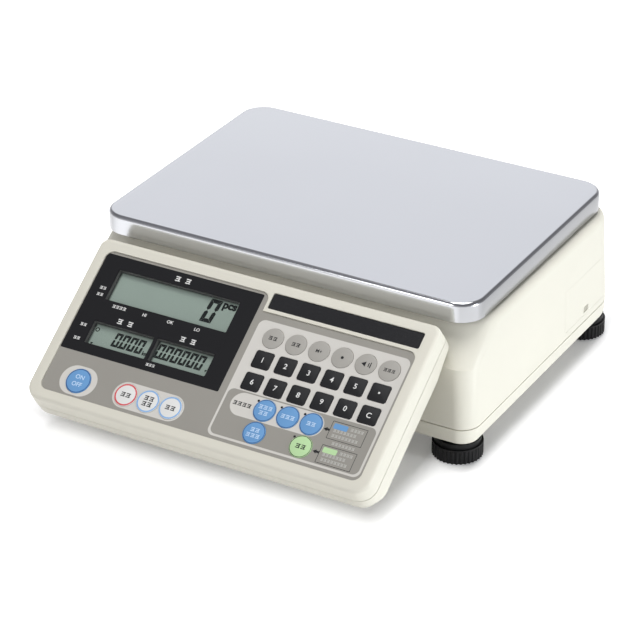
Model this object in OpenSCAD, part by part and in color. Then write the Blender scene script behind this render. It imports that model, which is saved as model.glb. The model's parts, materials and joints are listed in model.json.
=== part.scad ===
// Counting scale with a folded steel pan, a single-point load cell and a tilted keypad and display.
// Millimetres. The origin is on the surface it stands on, under the middle of its bounding box.
// +X is to the right of the person who reads the display, +Y to the back, +Z up.

/* [Overall] */
// Width of the case at its parting line
overall_w = 315; // [309:1:321]
// Depth, from the lower edge of the display housing to the back of the case
overall_d = 350; // [347:1:354]
// Height of the top of the pan above the surface
overall_h = 121; // [119:0.5:124]

/* [Pan] */
// Width of the weighing pan
pan_w = 300; // [292:1:302]
// Depth of the weighing pan
pan_d = 218; // [210:1:220]
// Height of the pan's folded edge
pan_skirt = 14.5; // [13:0.5:15]
// Plan radius of the pan's corners
pan_corner = 19; // [14:1:24]
// Thickness of the pan's sheet
pan_sheet = 1; // [0.8:0.1:1.5]
// Height of the rubber cushions under the pan
cushion_h = 8; // [7:0.5:9]

/* [Case] */
// Depth of the case
case_d = 242; // [240:1:244]
// Plan radius of the case's front corners
front_corner = 14; // [12:1:16]
// Plan radius of the case's back corners
back_corner = 28; // [22:1:32]
// Plan radius of the front corners at the top of the shoulder
shoulder_corner = 34; // [28:1:36]
// Height of the underside of the case above the surface
case_bottom = 20; // [19.5:0.5:21]
// Height of the tray below the parting line
tray_h = 12.4; // [12:0.1:13]
// Inward lean of the walls for each unit of height
wall_lean = 0.04; // [0.03:0.01:0.05]
// Thickness of the moulded walls
wall = 3; // [2.5:0.5:3]

/* [Display housing] */
// Width of the display housing at its face
panel_w = 271.4; // [270:0.2:272]
// Length of the display housing, up its slope
panel_h = 131; // [130:1:132]
// Angle of the keypad to the horizontal
panel_tilt = 35; // [34:0.5:36]
// Height of the middle of the keypad above the surface
panel_z = 73.2; // [72:0.2:74]
// Plan radius of the housing's lower and upper corners
panel_corners = [12, 7]; // [6:1:14]

/* [Keys] */
// Distance between key columns
key_pitch = 18; // [17.8:0.1:18]
// Distance between key rows
row_pitch = 17.3; // [17.2:0.1:17.4]
// Height of a key above the film around it
key_rise = 0.4; // [0.2:0.1:0.5]

/* [Feet] */
// Diameter of the levelling knobs
foot_d = 36; // [35:0.5:38]
// Number of ribs around a knob
foot_ribs = 36; // [30:1:40]
// Diameter of the threaded studs
stud_d = 8; // [6:1:8]

/* [Hidden] */
$fn = 48;
skin = 0.01;
bend = [0:22.5:90];

// Heights of the case and what stands in it
parting_z = case_bottom + tray_h;
crease_z = 78;
pan_bottom = overall_h - pan_skirt;
pan_clear = 2.5;
case_top = pan_bottom - pan_clear;
floor_t = 2.5;
floor_z = case_bottom + floor_t;

// Plan of the case and the pan
case_back = overall_d / 2;
case_front = case_back - case_d;
pan_y = case_back - 10 - pan_d / 2;
shoulder_r = 6;
shoulder_slope = 18 / 26;
case_corners = [front_corner, back_corner];
deck_corners = [shoulder_corner, back_corner];
tray_lean = 0.04;
tray_edge = 4;
parting_gap = 0.7;
tongue_h = 3;
tongue_inset = 1.2;
pan_fold = 3;

// Screws of the case and the display housing
screw_r = 1.45;
screw_hole = 1.5;
screw_len = 11;
head_r = 2.9;
head_h = 2.4;
well_r = 3.3;
well_h = 7;
post_r = 4.5;
screw_room = 0.2;
post_foot = parting_z + 0.6;
case_posts = [[143, 58, case_top - 1], [60, 158, case_top - 1], [112, -55, 74]];
front_post = case_posts[2];
post_rib = 3;
post_rib_foot = post_foot + 20;

// Feet
foot_x = 137;
foot_y = [-45, 157];
knob_bottom = 1.5;
knob_top = 12.5;
knob_cap = 16.5;
pad_r = 14;
pad_top = 4;
stud_top = 44;
boss_r = 9;
boss_top = 40;
stud_gap = 0.1;
rib_groove = 1.2;
rib_out = 0.4;
knob_step = 1.5;
pad_gap = 0.3;

// Base casting: a plate with four windows, two cross ribs, and bosses for what stands on it
base_t = 5.5;
base_top = floor_z + base_t;
base_x = 136;
base_y = [-46, 157];
base_rib_y = [0, 112];
base_rib = [6, 6];
base_window = [60, 28];
base_window_x = [-100, 40];
base_window_y = [-30, 122];
neck_lug_x = 40;
neck_lug_y = -49;
neck_lug_r = 6;
neck_lugs = [for (s = [-1, 1]) [s * neck_lug_x, neck_lug_y, 0]];
neck_pad_x = 60;
neck_pad_edge = 3;

// Load cell, its screws and the stop under its free end
cell_l = 130;
cell_w = 30;
cell_h = 22;
cell_z = 58;
cell_top = cell_z + cell_h;
cell_holes = [42, 57];
cell_eye = 7.5;
cell_eye_x = 11;
cell_slot = 4;
cell_foot_x = 34;
bolt_r = 2.95;
bolt_hole = 3.05;
bolt_len = 36;
bolt_head_r = 5;
bolt_head_h = 6;
bolt_key = [2.9, 3];
stop_x = -25;
stop_gap = 0.6;
stop_r = 3;
stop_room = 0.1;
stop_foot = floor_z + 2;
stop_boss_r = 7;
stop_boss_top = base_top + 12;
stop_nut = [5.8, 5];

// Cross under the pan
support_top = overall_h - pan_sheet - cushion_h;
support_t = 5.5;
support_bottom = support_top - support_t;
arm_x = 120;
arm_y = 80;
arm_w = 26;
arm_step = 1;
rib_w = 4;
rib_h = 5;
rib_reach = 0.84;
arm_pad_r = 15;
web_size = [130, 84];
web_corner = 14;
hub_x = -50;
hub_size = [34, 32];
hub_room = 5;
cushion_r = 9;
cushion_nose_r = 7.5;
cushion_nose = 2;
cushion_spots = [for (x = [-arm_x, arm_x], y = [-arm_y, arm_y]) [x, pan_y + y, 0]];
case_stop_r = 4;
case_stop_gap = 0.8;

// Level, main board and inlet
level_y = pan_y - 81;
level_r = 9;
level_h = 7;
level_flange = [3, 1.5];
level_dish = [7.5, 1];
board_t = 1.6;
board_z = 40;
board_box = [[-120, 82], [-20, 153]];
board_peg = 1.5;
board_peg_inset = 6;
board_peg_rise = 4;
board_post_r = 4;
board_hole = 1.7;
board_parts = [
    [[-112, 120], [34, 26, 18]],
    [[-66, 112], [22, 22, 3]],
    [[-40, 128], [14, 14, 2.5]],
    [[-46, 84], [14, 8, 2]]
];
inlet_x = -95;
inlet_z = 47;
inlet_r = 5;
inlet_bore = 2.75;
inlet_pin = 1.05;
inlet_depth = 9;
inlet_body_y = [149, 169];
inlet_body_x = 7;
inlet_body_rise = 6;
inlet_face = case_back - wall_lean * (inlet_z - parting_z) - 0.2;

// Flat cable to the display
cable_x = -46;
cable_w = 14;
cable_t = 1;
cable_z = 45.4;

// Cover in the right wall
cover_y = [85, 154];
cover_z = [38, 71];
cover_gap = [0.4, 0.1];
cover_lip = 3;
cover_lip_t = 2;
cover_root = overall_w / 2 - 20;
grip_line = [8, 0.8];
grip_y = 115.5;
grip_z = [for (i = [0:2]) cover_z[0] + 2 + 1.6 * i];
grip_depth = 2;

// Layers of the display housing, measured from the face of the film
rim = 0.8;
film = 0.5;
film_bed = -1.6;
window_bed = -0.9;
bezel_floor = -3.4;
board_face = -12;
seam = -11.5;
seam_gap = 0.6;
panel_draft = 0.05;
shell_shoulder = -21;
shell_back = -30;
panel_wall = 2.5;
shell_floor = shell_back + panel_wall;
rim_r = 2.8;
back_r = 2.5;
back_draw = [0.3, 5.5, 21];
panel_front = -overall_d / 2 + rim_r + (rim - rim_r) * sin(panel_tilt);
panel_y = panel_front + (panel_h / 2 - rim_r) * cos(panel_tilt);
panel_posts = [[-119, 54], [119, 54], [-119, -54], [119, -54], [0, 57], [0, -53]];
panel_post_r = 4;
shell_post_r = 4.6;
panel_screw_depth = 7.2;
panel_head = shell_back + 13;
lcd_front = -3.5;
lcd_glass = 1;
panel_board = [[-114, -30], [114, 50]];
board_pegs = [[-108, 11], [-108, -26], [106, 44], [106, -26]];
panel_peg_r = 3.5;
panel_peg_rise = 3;

// Film, windows and name strip on the face: [low corner, high corner]
film_low = [-126.6, -57];
film_right = 126.6;
film_top = 56.2;
film_step = [6.5, 42.2];
film_r = 6;
display_area = [[-126.2, -23.5], [2.6, 54.2]];
windows = [
    [[-111.4, 19.7], [-12.2, 44.3]],
    [[-110.8, -15.5], [-61.2, 2.2]],
    [[-58.4, -15.5], [-12.2, 2.2]]
];
window_r = 0.8;
lcd_boxes = [[[-115, 16], [-8.5, 48]], [[-115, -20], [-8.5, 6]]];
name_strip = [[9, 45.2], [126, 57.4]];
name_r = 1.3;
seat_gap = 0.3;
membrane_edge = 1.5;

// Neck between the display housing and the case
neck_w = 140;
neck_z = [39, 71];
neck_end = -44;
neck_root = -170;
neck_room = 0.5;

// Keys: [name, kind, x, row]
key_x = 23.2;
row_v = 24.7;
key_gap = 0.2;
pocket_floor = 0.3;
square_key = [14, 13.2, 1.8];
upper_digits = ["1", "2", "3", "4", "5", "point"];
lower_digits = ["6", "7", "8", "9", "0", "clear"];
power_x = -100.1;
ring_x = -61;
function column(i) = key_x + i * key_pitch;
KEYS = concat(
    [for (i = [0:5]) [str("key_grey_", i + 1), "grey", column(i), 0]],
    [for (i = [0:5]) [str("key_", upper_digits[i]), "square", column(i), 1]],
    [for (i = [0:5]) [str("key_", lower_digits[i]), "square", column(i), 2]],
    [for (i = [1:3]) [str("key_blue_", i), "blue", column(i), 3]],
    [["key_blue_4", "blue", column(1), 4], ["key_green", "green", column(3), 4]],
    [["key_power", "power", power_x, 4]],
    [for (i = [0:2]) [str("key_ring_", i + 1), "ring", ring_x + i * key_pitch, 4]]
);
function key_r(kind) = kind == "grey" ? 7.75 : kind == "power" ? 9.4 : kind == "ring" ? 8.6 : 8.2;
function key_v(row) = row_v - row * row_pitch;
function key_colour(kind) = kind == "grey" ? "silver" : kind == "square" ? "black"
    : kind == "green" ? "lightgreen" : kind == "ring" ? "white" : "dodgerblue";

// Feet: [side, end, x, y]
sides = ["left", "right"];
ends = ["front", "back"];
FEET = [for (i = [0:1], j = [0:1]) [sides[i], ends[j], (2 * i - 1) * foot_x, foot_y[j]]];
foot_spots = [for (f = FEET) [f[2], f[3], 0]];
function foot_name(piece, f) = str("foot_", piece, "_", f[1], "_", f[0]);

// Shapes that repeat

// An upright round bar between two heights
module rod(r, low, high) {
    translate([0, 0, low]) cylinder(r = r, h = high - low);
}

module at(spots) {
    for (spot = spots) translate(spot) children();
}

// A sharp-edged disc with its rim at the origin's height, thickened above (side 1) or below (side -1)
module rim_disc(r, side) {
    scale([1, 1, side]) cylinder(r1 = r, r2 = r - 1, h = skin, $fn = 32);
}

// Four discs at the corners of a round-cornered rectangle, drawn in by inset
// r is the corner radius at y0 and at y1
module slice(hx, y0, y1, r, z, inset, side) {
    for (s = [-1, 1]) {
        translate([s * (hx - r[0]), y0 + r[0], z]) rim_disc(r[0] - inset, side);
        translate([s * (hx - r[1]), y1 - r[1], z]) rim_disc(r[1] - inset, side);
    }
}

module round_rect(w, d, r) {
    square([w - 2 * r, d], center = true);
    square([w, d - 2 * r], center = true);
    for (x = [r - w / 2, w / 2 - r], y = [r - d / 2, d / 2 - r]) translate([x, y]) circle(r);
}

// A quarter circle from the angle start
function arc(centre, r, start) = [for (a = [0:11.25:90]) centre + r * [cos(start + a), sin(start + a)]];

// Round-cornered rectangle from its low and high corners, grown on every side
module area(box, r, grow = 0) {
    size = box[1] - box[0];
    translate((box[0] + box[1]) / 2) round_rect(size[0] + 2 * grow, size[1] + 2 * grow, r);
}

module box3(low, high) {
    translate(low) cube(high - low);
}

// From the keypad's own frame, x across, y up the slope and z out of the face, to the part's frame
module on_panel() {
    translate([0, panel_y, panel_z]) rotate([panel_tilt, 0, 0]) children();
}

// The y and z of a point that is v up the slope and w out of the face
function panel_point(v, w) = [
    panel_y + v * cos(panel_tilt) - w * sin(panel_tilt),
    panel_z + v * sin(panel_tilt) + w * cos(panel_tilt)
];

module panel_layer(low, high) {
    on_panel() translate([0, 0, low]) linear_extrude(high - low) children();
}

// A screw pointing up, with the underside of its head at the origin
module screw() {
    rod(head_r, -head_h, 0);
    rod(screw_r, 0, screw_len);
}

// A bolt pointing up with a six-sided socket in its head
module socket_bolt() {
    difference() {
        rod(bolt_head_r, -bolt_head_h, 0);
        rod(bolt_key[0], -bolt_head_h - 1, bolt_key[1] - bolt_head_h, $fn = 6);
    }
    rod(bolt_r, 0, bolt_len);
}

module at_case_posts() {
    for (p = case_posts, s = [-1, 1]) translate([s * p[0], p[1], 0]) children();
}

// Posts under the top of the case, with a rib to the wall from each front one
module upper_posts() {
    for (p = case_posts, s = [-1, 1]) translate([s * p[0], p[1], 0]) rod(post_r, post_foot, p[2]);
    for (s = [-1, 1]) translate([s * front_post[0], 0, 0]) box3(
        [-post_rib / 2, case_front + wall - 1, post_rib_foot],
        [post_rib / 2, front_post[1], front_post[2]]
    );
}

// Weighing pan and what carries it

module pan_slice(z, inset, side) {
    slice(pan_w / 2, pan_y - pan_d / 2, pan_y + pan_d / 2, [pan_corner, pan_corner], z, inset, side);
}

module pan_block(shrink) {
    e = pan_fold - shrink;
    top = overall_h - shrink;
    hull() {
        pan_slice(pan_bottom - shrink, shrink, 1);
        for (a = bend) pan_slice(top - e + e * sin(a), shrink + e * (1 - cos(a)), -1);
    }
}

module pan() {
    color("gainsboro") difference() {
        pan_block(0);
        pan_block(pan_sheet);
    }
}

// Bar across the pan's middle, along one diagonal of the cushions
module pan_arm(turn, w, low, high, reach) {
    length = 2 * reach * sqrt(arm_x * arm_x + arm_y * arm_y);
    translate([0, pan_y, (low + high) / 2]) rotate(turn) cube([length, w, high - low], center = true);
}

module pan_support() {
    color("darkgray") difference() {
        union() {
            translate([0, pan_y, support_bottom]) linear_extrude(support_t)
                round_rect(web_size[0], web_size[1], web_corner);
            for (turn = [-1, 1] * atan2(arm_y, arm_x)) {
                pan_arm(turn, arm_w, support_bottom + arm_step, support_top - arm_step, 1);
                pan_arm(turn, rib_w, support_top - 2 * arm_step, support_top + rib_h, rib_reach);
            }
            at(cushion_spots) rod(arm_pad_r, support_bottom, support_top);
            translate([hub_x - hub_size[0] / 2, pan_y - hub_size[1] / 2, cell_top])
                cube([hub_size[0], hub_size[1], support_bottom + 1 - cell_top]);
        }
        at([for (x = cell_holes) [-x, pan_y, 0]]) rod(bolt_hole, cell_top - 1, cell_z + bolt_len + 1);
    }
}

module pan_cushions() {
    color("dimgray") at(cushion_spots) {
        rod(cushion_r, support_top, support_top + cushion_h - cushion_nose);
        rod(cushion_nose_r, support_top, support_top + cushion_h);
    }
}

module load_cell() {
    middle = cell_z + cell_h / 2;
    color("lightsteelblue") difference() {
        translate([-cell_l / 2, pan_y - cell_w / 2, cell_z]) cube([cell_l, cell_w, cell_h]);
        for (x = [-cell_eye_x, cell_eye_x]) translate([x, pan_y, middle])
            rotate([90, 0, 0]) cylinder(r = cell_eye, h = cell_w + 2, center = true);
        translate([0, pan_y, middle]) cube([2 * cell_eye_x, 2 * cell_w, cell_slot], center = true);
        at([for (x = cell_holes, s = [-1, 1]) [s * x, pan_y, 0]]) rod(bolt_hole, cell_z - 1, cell_top + 1);
    }
}

module load_cell_base_bolts() {
    color("dimgray") at([for (x = cell_holes) [x, pan_y, cell_top]]) mirror([0, 0, 1]) socket_bolt();
}

module load_cell_top_bolts() {
    color("dimgray") at([for (x = cell_holes) [-x, pan_y, cell_z]]) socket_bolt();
}

module overload_stop() {
    color("dimgray") translate([stop_x, pan_y, 0]) {
        rod(stop_r, stop_foot, cell_z - stop_gap);
        rod(stop_nut[0], stop_boss_top, stop_boss_top + stop_nut[1], $fn = 6);
    }
}

// Base casting, feet and case

module base_frame() {
    color("silver") difference() {
        union() {
            box3([-base_x, base_y[0], floor_z], [base_x, base_y[1], base_top]);
            box3([-neck_pad_x, neck_lug_y - neck_pad_edge, floor_z], [neck_pad_x, base_y[0] + 1, base_top]);
            at(foot_spots) rod(boss_r, floor_z, boss_top);
            box3([cell_foot_x, pan_y - cell_w / 2, base_top - 1], [cell_l / 2, pan_y + cell_w / 2, cell_z]);
            translate([stop_x, pan_y, 0]) rod(stop_boss_r, floor_z, stop_boss_top);
            at(neck_lugs) rod(neck_lug_r, floor_z, neck_z[0]);
            at_board_pegs() {
                rod(board_post_r, base_top - 1, board_z);
                rod(board_peg, base_top - 1, board_z + board_peg_rise);
            }
            for (y = base_rib_y) box3(
                [base_rib[0] - base_x, y - base_rib[0] / 2, base_top - 1],
                [base_x - base_rib[0], y + base_rib[0] / 2, base_top + base_rib[1]]
            );
        }
        at(foot_spots) rod(stud_d / 2 + stud_gap, floor_z - 1, boss_top + 1);
        at([for (x = cell_holes) [x, pan_y, 0]]) rod(bolt_hole, cell_top - bolt_len - 1, cell_z + 1);
        translate([stop_x, pan_y, 0]) rod(stop_r + stop_room, stop_foot - 1, stop_boss_top + 1);
        at(neck_lugs) rod(screw_hole, neck_z[0] - screw_len, neck_z[0] + 1);
        for (x = base_window_x, y = base_window_y)
            box3([x, y, floor_z - 1], [x + base_window[0], y + base_window[1], base_top + 1]);
        at_case_posts() rod(post_r + 0.5, floor_z - 1, base_top + 1);
    }
}

module at_board_pegs() {
    low = board_box[0] + [board_peg_inset, board_peg_inset];
    high = board_box[1] - [board_peg_inset, board_peg_inset];
    at([for (x = [low[0], high[0]], y = [low[1], high[1]]) [x, y, 0]]) children();
}

module foot_knob(f) {
    r = foot_d / 2;
    color("black") translate([f[2], f[3], 0]) {
        difference() {
            union() {
                rod(r, knob_bottom, knob_top);
                rod(r - knob_step, knob_top - 1, knob_cap);
            }
            for (i = [1:foot_ribs]) rotate(i * 360 / foot_ribs) translate([r + rib_out, 0, 0])
                rod(rib_groove, knob_bottom - 1, knob_top - 1, $fn = 16);
            rod(pad_r + pad_gap, knob_bottom - 1, pad_top + pad_gap);
        }
        rod(stud_d / 2, knob_cap - 1, stud_top);
    }
}

module foot_pad(f) {
    color("dimgray") translate([f[2], f[3], 0]) {
        rod(pad_r - 1, 0, 1);
        rod(pad_r, 0.5, pad_top);
    }
}

module tray_slice(z, inset, side) {
    slice(overall_w / 2, case_front, case_back, case_corners, z, inset, side);
}

module tray_block(shrink) {
    e = tray_edge - shrink;
    low = case_bottom + (shrink > 0 ? floor_t : 0);
    hull() {
        tray_slice(parting_z + (shrink > 0 ? 1 : 0), shrink, -1);
        for (a = bend)
            tray_slice(low + e * (1 - sin(a)), shrink + e * (1 - cos(a)) + tray_lean * tray_h, 1);
    }
}

module bottom_case() {
    color("ivory") difference() {
        union() {
            difference() {
                tray_block(0);
                tray_block(wall);
            }
            at_case_posts() rod(post_r, case_bottom + 1, post_foot);
        }
        at_case_posts() {
            rod(well_r, case_bottom - 1, case_bottom + well_h);
            rod(screw_hole + screw_room, case_bottom, post_foot + 1);
        }
        at(foot_spots) rod(stud_d / 2 + 2, case_bottom - 1, floor_z + 1);
    }
}

function front_at(z) =
    case_front + wall_lean * (min(z, crease_z) - parting_z) + shoulder_slope * max(0, z - crease_z);

module case_slice(z, inset, side, corners = case_corners) {
    lean = wall_lean * (z - parting_z);
    slice(overall_w / 2 - lean, front_at(z), case_back - lean, corners, z, inset, side);
}

// The two front corners where the wall turns into the sloping shoulder
module crease_corners(inset) {
    x = overall_w / 2 - wall_lean * (crease_z - parting_z) - front_corner - 0.3;
    for (s = [-1, 1]) translate([s * x, front_at(crease_z) + front_corner, crease_z])
        rim_disc(front_corner - inset, 1);
}

module case_block(shrink) {
    e = max(shoulder_r - shrink, 1);
    top = case_top - shrink;
    hull() {
        case_slice(parting_z + (shrink > 0 ? -1 : parting_gap), shrink, 1);
        crease_corners(shrink);
        for (a = bend) case_slice(top - e + e * sin(a), shrink + e * (1 - cos(a)), -1, deck_corners);
    }
}

// Lip inside the parting line, which leaves a narrow gap outside it
module case_tongue() {
    hull() {
        case_slice(parting_z, tongue_inset, 1);
        case_slice(parting_z + tongue_h, tongue_inset, -1);
    }
}

module cover_box(grow) {
    box3(
        [cover_root, cover_y[0] - grow[0], cover_z[0] - grow[1]],
        [overall_w, cover_y[1] + grow[0], cover_z[1] + grow[1]]
    );
}

module upper_case() {
    hub_low = [hub_x, pan_y] - hub_size / 2 - [hub_room, hub_room];
    hub_high = [hub_x, pan_y] + hub_size / 2 + [hub_room, hub_room];
    color("ivory") difference() {
        union() {
            difference() {
                union() {
                    case_block(0);
                    case_tongue();
                }
                case_block(wall);
            }
            upper_posts();
            at(cushion_spots) rod(case_stop_r, case_top - 1, support_bottom - case_stop_gap);
        }
        at_case_posts() rod(screw_hole, post_foot - 1, post_foot + screw_len + 1);
        box3([hub_low[0], hub_low[1], case_top - 10], [hub_high[0], hub_high[1], case_top + 10]);
        box3(
            [-neck_w / 2 - neck_room, case_front - 10, neck_z[0] - neck_room],
            [neck_w / 2 + neck_room, case_front + 12, neck_z[1] + neck_room]
        );
        translate([inlet_x, case_back, inlet_z]) rotate([-90, 0, 0]) rod(inlet_r + 0.2, -12, 8);
        cover_box(cover_gap);
    }
}

module side_cover() {
    color("ivory") {
        intersection() {
            difference() {
                case_block(0);
                case_block(wall);
            }
            difference() {
                cover_box([0, 0]);
                for (z = grip_z) translate([overall_w / 2 - grip_depth, grip_y, z])
                    cube([10, grip_line[0], grip_line[1]]);
            }
        }
        intersection() {
            difference() {
                case_block(wall);
                case_block(wall + cover_lip_t);
            }
            cover_box([cover_lip, cover_lip]);
        }
    }
}

module level_vial() {
    color("palegreen") translate([0, level_y, case_top]) difference() {
        union() {
            rod(level_r, 0, level_h);
            rod(level_r + level_flange[0], 0, level_flange[1]);
        }
        rod(level_dish[0], level_h - level_dish[1], level_h + 1);
    }
}

// Electronics in the case

module main_board() {
    size = board_box[1] - board_box[0];
    color("darkgreen") difference() {
        union() {
            translate([board_box[0][0], board_box[0][1], board_z]) cube([size[0], size[1], board_t]);
            for (p = board_parts) translate([p[0][0], p[0][1], board_z]) cube(p[1] + [0, 0, board_t]);
        }
        at_board_pegs() rod(board_hole, board_z - 1, board_z + 30);
    }
}

// Socket with its own axis along y, open to the back
module inlet_rod(r, low, high) {
    translate([inlet_x, 0, inlet_z]) rotate([-90, 0, 0]) rod(r, low, high);
}

module dc_inlet() {
    color("black") {
        difference() {
            union() {
                box3(
                    [inlet_x - inlet_body_x, inlet_body_y[0], board_z + board_t],
                    [inlet_x + inlet_body_x, inlet_body_y[1], inlet_z + inlet_body_rise]
                );
                inlet_rod(inlet_r, inlet_body_y[1] - 1, inlet_face);
            }
            inlet_rod(inlet_bore, inlet_face - inlet_depth, inlet_face + 1);
        }
        inlet_rod(inlet_pin, inlet_face - inlet_depth - 1, inlet_face - 1);
    }
}

// Flat cable from the main board, under the load cell and through the neck, to the display board
module display_cable() {
    board_end = panel_point(2, board_face - board_t - 1);
    route = [[83.5, cable_z], [60, cable_z], [-40, cable_z], [-70, 52], [-98, 60], board_end];
    back_again = [for (i = [len(route) - 1:-1:0]) route[i] + [0, cable_t]];
    color("lightgray") translate([cable_x, 0, 0]) rotate([90, 0, 90]) linear_extrude(cable_w)
        polygon(concat(route, back_again));
}

// Display housing

// Outline of the housing, which widens a little from its face down to the seam
module housing_slice(w, inset, side) {
    spread = panel_draft * (rim - max(w, seam));
    slice(panel_w / 2, -panel_h / 2, panel_h / 2, panel_corners, w, inset - spread, side);
}

module bezel_block(shrink) {
    e = rim_r - shrink;
    top = shrink > 0 ? bezel_floor : rim;
    hull() {
        housing_slice(seam - (shrink > 0 ? 1 : 0), shrink, 1);
        for (a = bend) housing_slice(top - e + e * sin(a), shrink + e * (1 - cos(a)), -1);
    }
}

// Outline of the film: a rectangle with a step down at the right for the name strip
module film_outline(grow = 0) {
    r = film_r + grow;
    low = film_low - [grow, grow];
    right = film_right + grow;
    step = film_step + [grow, grow];
    top = film_top + grow;
    polygon(concat(
        arc([low[0] + r, low[1] + r], r, 180),
        arc([right - r, low[1] + r], r, 270),
        arc([right - r, step[1] - r], r, 0),
        [step],
        arc([step[0] - r, top - r], r, 0),
        arc([low[0] + r, top - r], r, 90)
    ));
}

module membrane_outline(grow = 0) {
    difference() {
        film_outline(grow - membrane_edge);
        area(display_area, 1, 2 * seat_gap - grow);
        translate([-140, display_area[0][1] + 20]) square([145, 80]);
    }
}

module window_cuts() {
    for (w = windows) area(w, window_r);
}

// A pocket in the face, down to a depth
module pocket(low) {
    translate([0, 0, low]) linear_extrude(3) children();
}

module display_bezel() {
    color("ivory") on_panel() difference() {
        union() {
            difference() {
                bezel_block(0);
                bezel_block(panel_wall);
            }
            at(panel_posts) rod(panel_post_r, seam, bezel_floor + 0.5);
            at(board_pegs) {
                rod(panel_peg_r, board_face, bezel_floor + 0.5);
                rod(board_peg, board_face - panel_peg_rise, board_face + 1);
            }
        }
        pocket(-film) film_outline(seat_gap);
        pocket(film_bed) membrane_outline(seat_gap);
        pocket(window_bed) area(display_area, 1, -0.4);
        pocket(-film) area(name_strip, 1.5, 0.2);
        translate([0, 0, bezel_floor - 5]) linear_extrude(10) window_cuts();
        at(panel_posts) rod(screw_hole, seam - 1, seam + panel_screw_depth);
    }
}

// Outline of the shell's back, drawn in at its sides, below, and above for the case's shoulder
module back_slice(w, inset) {
    slice(
        panel_w / 2 - back_draw[0], back_draw[1] - panel_h / 2, panel_h / 2 - back_draw[2],
        panel_corners, w, inset, 1
    );
}

module shell_block(shrink) {
    e = max(back_r - shrink, 1);
    low = shrink > 0 ? shell_floor : shell_back;
    hull() {
        housing_slice(seam + (shrink > 0 ? 1 : -seam_gap), shrink, -1);
        housing_slice(shell_shoulder + shrink, shrink, 1);
        for (a = bend) back_slice(low + e * (1 - sin(a)), shrink + e * (1 - cos(a)));
    }
}

module shell_tongue() {
    hull() {
        housing_slice(seam, tongue_inset, -1);
        housing_slice(seam - tongue_h, tongue_inset, 1);
    }
}

module neck_box(shrink) {
    box3(
        [shrink - neck_w / 2, neck_root, neck_z[0] + shrink],
        [neck_w / 2 - shrink, neck_end + (shrink > 0 ? 1 : 0), neck_z[1] - shrink]
    );
}

// All the room in front of a layer of the display housing
module room_above(w) {
    on_panel() translate([-panel_w, -panel_h, w]) cube([2 * panel_w, 2 * panel_h, 200]);
}

module display_rear_shell() {
    color("ivory") difference() {
        union() {
            on_panel() difference() {
                union() {
                    shell_block(0);
                    shell_tongue();
                }
                difference() {
                    shell_block(panel_wall);
                    at(panel_posts) rod(shell_post_r, shell_back - 1, seam);
                }
            }
            difference() {
                neck_box(0);
                room_above(shell_floor - 1);
            }
        }
        difference() {
            neck_box(wall);
            room_above(seam - 5);
        }
        on_panel() at(panel_posts) {
            rod(well_r, shell_back - 1, panel_head);
            rod(screw_hole + screw_room, shell_back - 1, seam + 1);
        }
        at(neck_lugs) rod(screw_hole + screw_room, neck_z[0] - 1, neck_z[0] + wall + 1);
    }
}

module key_outline(kind, grow) {
    w = square_key[0] + 2 * grow;
    h = square_key[1] + 2 * grow;
    if (kind == "square") round_rect(w, h, square_key[2] + grow);
    else circle(key_r(kind) + grow);
}

module keys_2d(grow) {
    for (k = KEYS) translate([k[2], key_v(k[3])]) key_outline(k[1], grow);
}

module keypad_overlay() {
    color("darkgray") panel_layer(-film, 0) difference() {
        film_outline();
        window_cuts();
        keys_2d(key_gap);
    }
}

module nameplate() {
    color("black") panel_layer(-film, 0) area(name_strip, name_r);
}

module membrane_circuit() {
    color("tan") difference() {
        panel_layer(film_bed, -film) membrane_outline();
        panel_layer(film_bed + pocket_floor, 1) keys_2d(key_gap);
    }
}

module window_film() {
    color("lightcyan", 0.4) panel_layer(window_bed, -film) area(display_area, 1, -0.7);
}

module display_board() {
    color("darkgreen") panel_layer(board_face - board_t, board_face) difference() {
        area(panel_board, 2);
        at(board_pegs) circle(board_hole);
    }
}

module lcd(box, glass) {
    color("darkseagreen") {
        panel_layer(board_face, lcd_front - lcd_glass) area(box, 1);
        for (w = glass) panel_layer(lcd_front - lcd_glass - 0.5, lcd_front) area(w, window_r, 1);
    }
}

module lcd_upper() {
    lcd(lcd_boxes[0], [windows[0]]);
}

module lcd_lower() {
    lcd(lcd_boxes[1], [windows[1], windows[2]]);
}

module case_screws() {
    color("dimgray") {
        at_case_posts() translate([0, 0, case_bottom + well_h]) screw();
        on_panel() at(panel_posts) translate([0, 0, panel_head]) screw();
        at(neck_lugs) translate([0, 0, neck_z[0] + wall]) mirror([0, 0, 1]) screw();
    }
}

module key(k) {
    color(key_colour(k[1])) on_panel() translate([k[2], key_v(k[3]), -film]) {
        linear_extrude(film + key_rise / 2) key_outline(k[1], 0);
        linear_extrude(film + key_rise) key_outline(k[1], -0.5);
    }
}

pan();
pan_support();
pan_cushions();
load_cell();
load_cell_base_bolts();
load_cell_top_bolts();
overload_stop();
base_frame();
bottom_case();
upper_case();
side_cover();
level_vial();
main_board();
dc_inlet();
display_cable();
display_bezel();
display_rear_shell();
keypad_overlay();
nameplate();
membrane_circuit();
window_film();
display_board();
lcd_upper();
lcd_lower();
case_screws();
for (f = FEET) foot_knob(f);
for (f = FEET) foot_pad(f);
for (k = KEYS) key(k);
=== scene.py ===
"""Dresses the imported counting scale: finishes, printed film, displays, keys and a plain studio."""

import json
import math

import bmesh
import bpy
from mathutils import Matrix, Vector

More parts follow.
